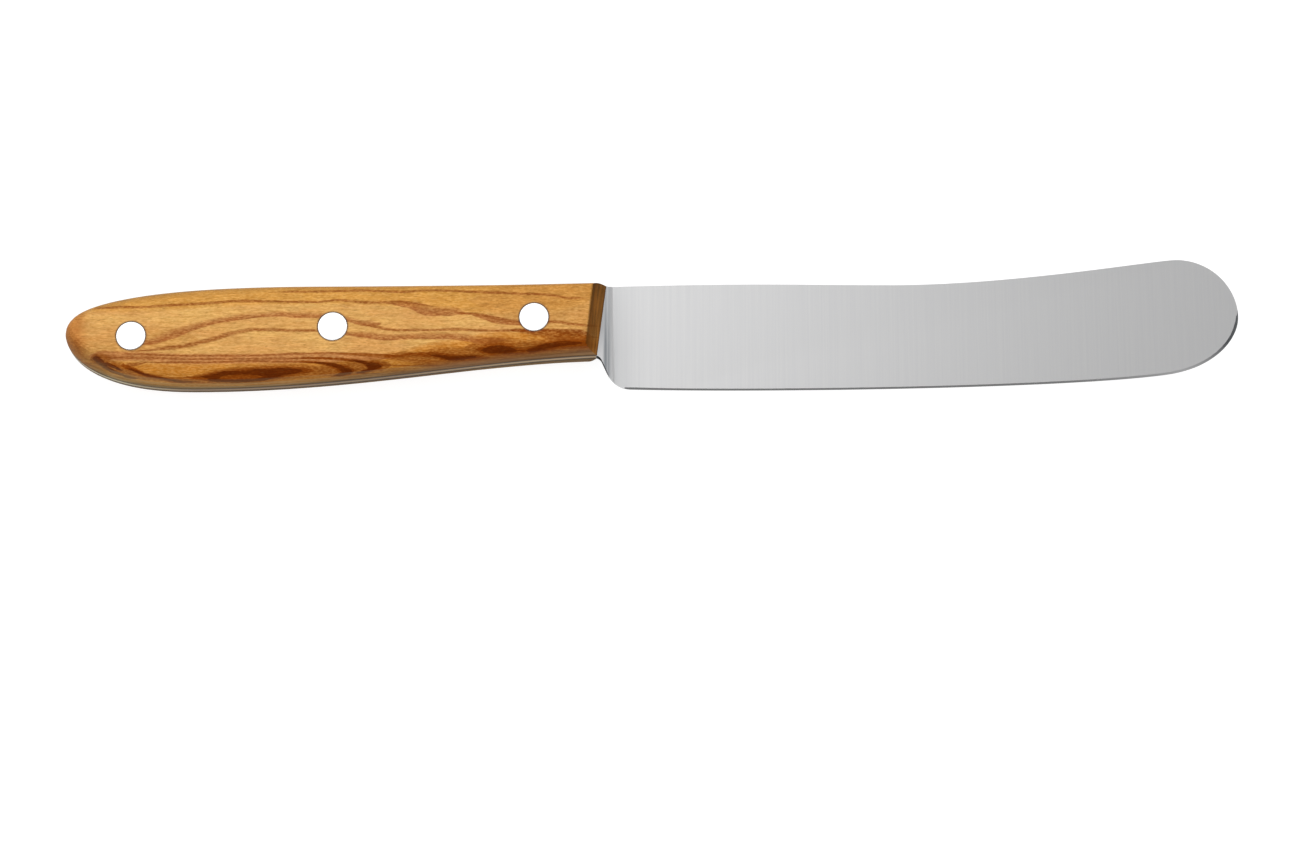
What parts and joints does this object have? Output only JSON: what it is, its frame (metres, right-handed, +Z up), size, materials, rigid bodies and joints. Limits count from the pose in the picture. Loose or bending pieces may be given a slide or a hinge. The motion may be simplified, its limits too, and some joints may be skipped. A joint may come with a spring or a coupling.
{
  "type": "table knife",
  "caption": "Broad round-tipped steel table knife whose full tang is clad in riveted olive-wood scales, for cutting and spreading at table.",
  "frame": {"origin": "on the table, under the middle of the knife's outline as it lies on its left scale", "axes": "+X from the butt towards the tip, +Y from the edge towards the spine, +Z up from the left scale towards the right one"},
  "size_m": [0.216, 0.025, 0.0114],
  "materials": {
    "blade_steel": "ground across the blade, satin",
    "olive_wood": "sanded smooth and oiled",
    "rivet_aluminium": "sanded flush with the wood"
  },
  "bodies": {
    "root": {"blade": "blade_steel", "right_scale": "olive_wood", "left_scale": "olive_wood", "rivet_tube_front": "rivet_aluminium", "rivet_tube_middle": "rivet_aluminium", "rivet_tube_rear": "rivet_aluminium", "rivet_pin_front": "rivet_aluminium", "rivet_pin_middle": "rivet_aluminium", "rivet_pin_rear": "rivet_aluminium"}
  },
  "joints": []
}
